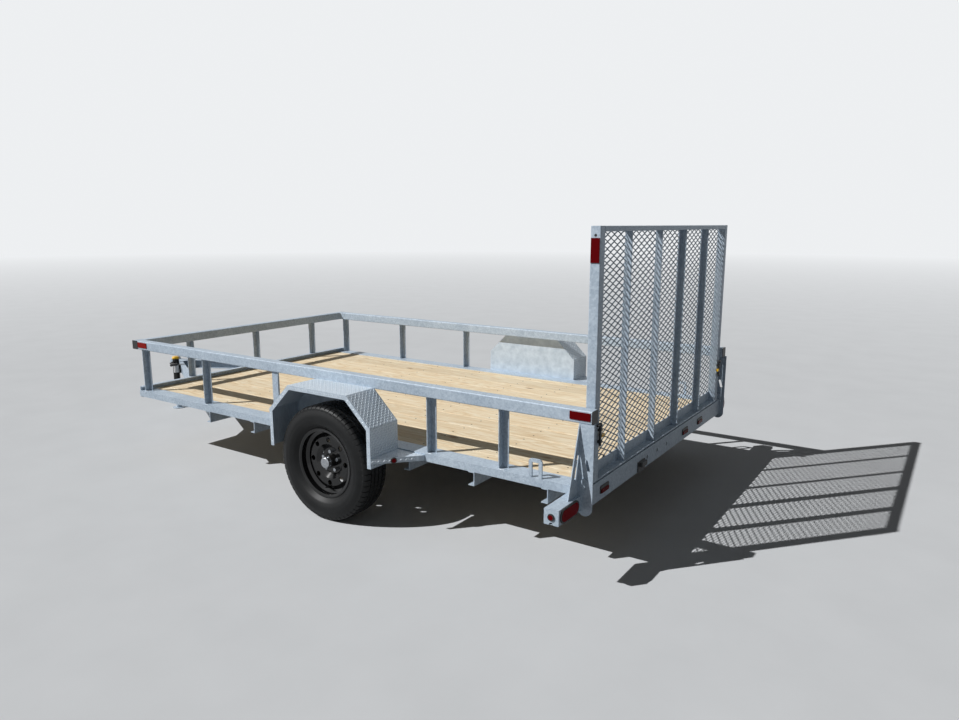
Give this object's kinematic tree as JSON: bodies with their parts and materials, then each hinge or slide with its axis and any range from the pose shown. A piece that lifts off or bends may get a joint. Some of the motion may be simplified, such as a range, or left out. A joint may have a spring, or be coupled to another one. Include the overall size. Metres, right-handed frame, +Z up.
{
  "type": "utility trailer",
  "caption": "Open single-axle utility trailer with a galvanised tube rail, plank deck, tread-plate fenders, a mesh ramp gate and a tongue jack.",
  "frame": {"origin": "on the ground under the middle of the trailer's length and width", "axes": "+X forward to the coupler, +Y to the left side, +Z up"},
  "size_m": [4.9636, 2.62, 1.672],
  "materials": {
    "galvanised": "hot-dip galvanised steel",
    "tread_plate": "diamond tread plate",
    "pine": "rough sawn treated pine",
    "tyre": "matt rubber",
    "black_steel": "gloss black paint",
    "bright": "bright plated",
    "black_plastic": "matt",
    "red_lens": "clear gloss lens",
    "amber_lens": "clear gloss lens",
    "yellow_plastic": "gloss",
    "cast": "dull"
  },
  "bodies": {
    "chassis": {"axle": "black_steel", "coupler": "galvanised", "coupler_latch": "bright", "cross_members": "galvanised", "deck_planks": "pine", "fender_left": "tread_plate", "fender_right": "tread_plate", "fender_steps": "tread_plate", "front_frame_rail": "galvanised", "front_reflectors": "amber_lens", "hinge_pins": "galvanised", "jack_body": "black_steel", "jack_cap": "yellow_plastic", "jack_crank": "black_plastic", "leaf_springs": "black_steel", "light_boxes": "galvanised", "marker_lamps": "red_lens", "plate_lamp": "black_plastic", "rail_end_plugs": "black_plastic", "rail_posts": "galvanised", "rear_frame_channel": "galvanised", "rear_posts": "galvanised", "rear_reflectors": "red_lens", "side_frames": "galvanised", "spring_hangers": "black_steel", "tail_lamp_grommets": "black_plastic", "tail_lamps": "red_lens", "tie_loops": "galvanised", "tongue_frame": "galvanised", "top_rail_front": "galvanised", "top_rail_sides": "galvanised", "u_bolts": "black_steel"},
    "wheel_left": {"tyre_left": "tyre", "wheel_rim_left": "black_steel", "hub_left": "cast", "wheel_nuts_left": "bright"},
    "wheel_right": {"tyre_right": "tyre", "wheel_rim_right": "black_steel", "hub_right": "cast", "wheel_nuts_right": "bright"},
    "gate": {"gate_frame": "galvanised", "gate_latch_tabs": "yellow_plastic", "gate_latches": "black_plastic", "gate_mesh_falling": "galvanised", "gate_mesh_rising": "galvanised", "gate_reflectors": "red_lens", "gate_ribs": "galvanised"},
    "jack_leg": {"jack_leg": "galvanised"}
  },
  "joints": [
    {"name": "wheel_left_spin", "type": "hinge", "parent": "chassis", "child": "wheel_left", "pos_m": [-0.8968, 1.1905, 0.338], "axis": [0, 1, 0], "continuous": true},
    {"name": "wheel_right_spin", "type": "hinge", "parent": "chassis", "child": "wheel_right", "pos_m": [-0.8968, -1.1905, 0.338], "axis": [0, 1, 0], "continuous": true},
    {"name": "gate_hinge", "type": "hinge", "parent": "chassis", "child": "gate", "pos_m": [-2.4398, 0, 0.49], "axis": [0, -1, 0], "range_deg": [0, 110]},
    {"name": "jack_slide", "type": "slide", "parent": "chassis", "child": "jack_leg", "axis": [0, 0, 1], "range_m": [0, 0.13]}
  ]
}
